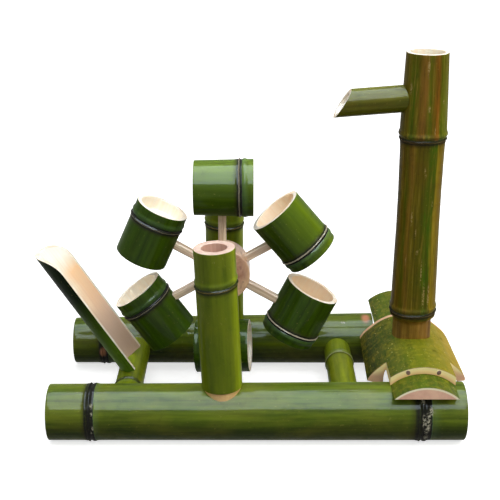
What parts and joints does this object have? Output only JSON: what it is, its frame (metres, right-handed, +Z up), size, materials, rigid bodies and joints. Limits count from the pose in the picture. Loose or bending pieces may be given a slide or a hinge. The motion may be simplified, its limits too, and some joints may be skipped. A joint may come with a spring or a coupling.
{
  "type": "bamboo fountain",
  "caption": "Garden fountain of fresh green bamboo: a spout on a tall culm pours onto a wheel of bamboo cups that turns between two posts on a culm frame, with a split chute.",
  "frame": {"origin": "on the ground, under the middle of the whole fountain", "axes": "+X along the rails towards the water column, +Y from the front rail to the rear rail, +Z up"},
  "size_m": [0.5296, 0.29, 0.446],
  "materials": {
    "rail_skin": "glossy fresh green bamboo",
    "bar_skin": "glossy yellow-green bamboo",
    "post_skin": "glossy fresh green bamboo",
    "cup_skin": "glossy dark green bamboo",
    "column_skin": "mottled olive-brown bamboo",
    "spout_skin": "glossy green bamboo",
    "saddle_skin": "mottled green bamboo",
    "slat_skin": "green bamboo",
    "chute_skin": "cream split bamboo, dark green outside",
    "hub_wood": "turned wood",
    "turned_wood": "turned wood",
    "spoke_wood": "planed wood",
    "peg_wood": "split bamboo",
    "clear_tube": "soft clear tube",
    "black_plastic": "moulded plastic"
  },
  "bodies": {
    "frame": {"front_rail": "rail_skin", "rear_rail": "rail_skin", "left_cross_bar": "bar_skin", "right_cross_bar": "bar_skin", "front_post": "post_skin", "rear_post": "post_skin", "water_column": "column_skin", "spout": "spout_skin", "saddle_shell": "saddle_skin", "saddle_slat": "slat_skin", "saddle_pegs": "peg_wood", "slat_pegs": "peg_wood", "rear_foot": "rail_skin", "riser_tube": "clear_tube", "riser_elbow": "black_plastic", "inlet_coupling": "black_plastic", "chute": "chute_skin", "chute_dowels": "peg_wood"},
    "wheel": {"axle": "turned_wood", "wheel_hub": "hub_wood", "front_spacer": "turned_wood", "rear_spacer": "turned_wood", "spoke_1": "spoke_wood", "spoke_2": "spoke_wood", "spoke_3": "spoke_wood", "spoke_4": "spoke_wood", "spoke_5": "spoke_wood", "spoke_6": "spoke_wood", "cup_1": "cup_skin", "cup_2": "cup_skin", "cup_3": "cup_skin", "cup_4": "cup_skin", "cup_5": "cup_skin", "cup_6": "cup_skin"}
  },
  "joints": [
    {"name": "wheel_spin", "type": "hinge", "parent": "frame", "child": "wheel", "pos_m": [-0.03342, -0.007, 0.175], "axis": [0, 1, 0], "continuous": true}
  ]
}
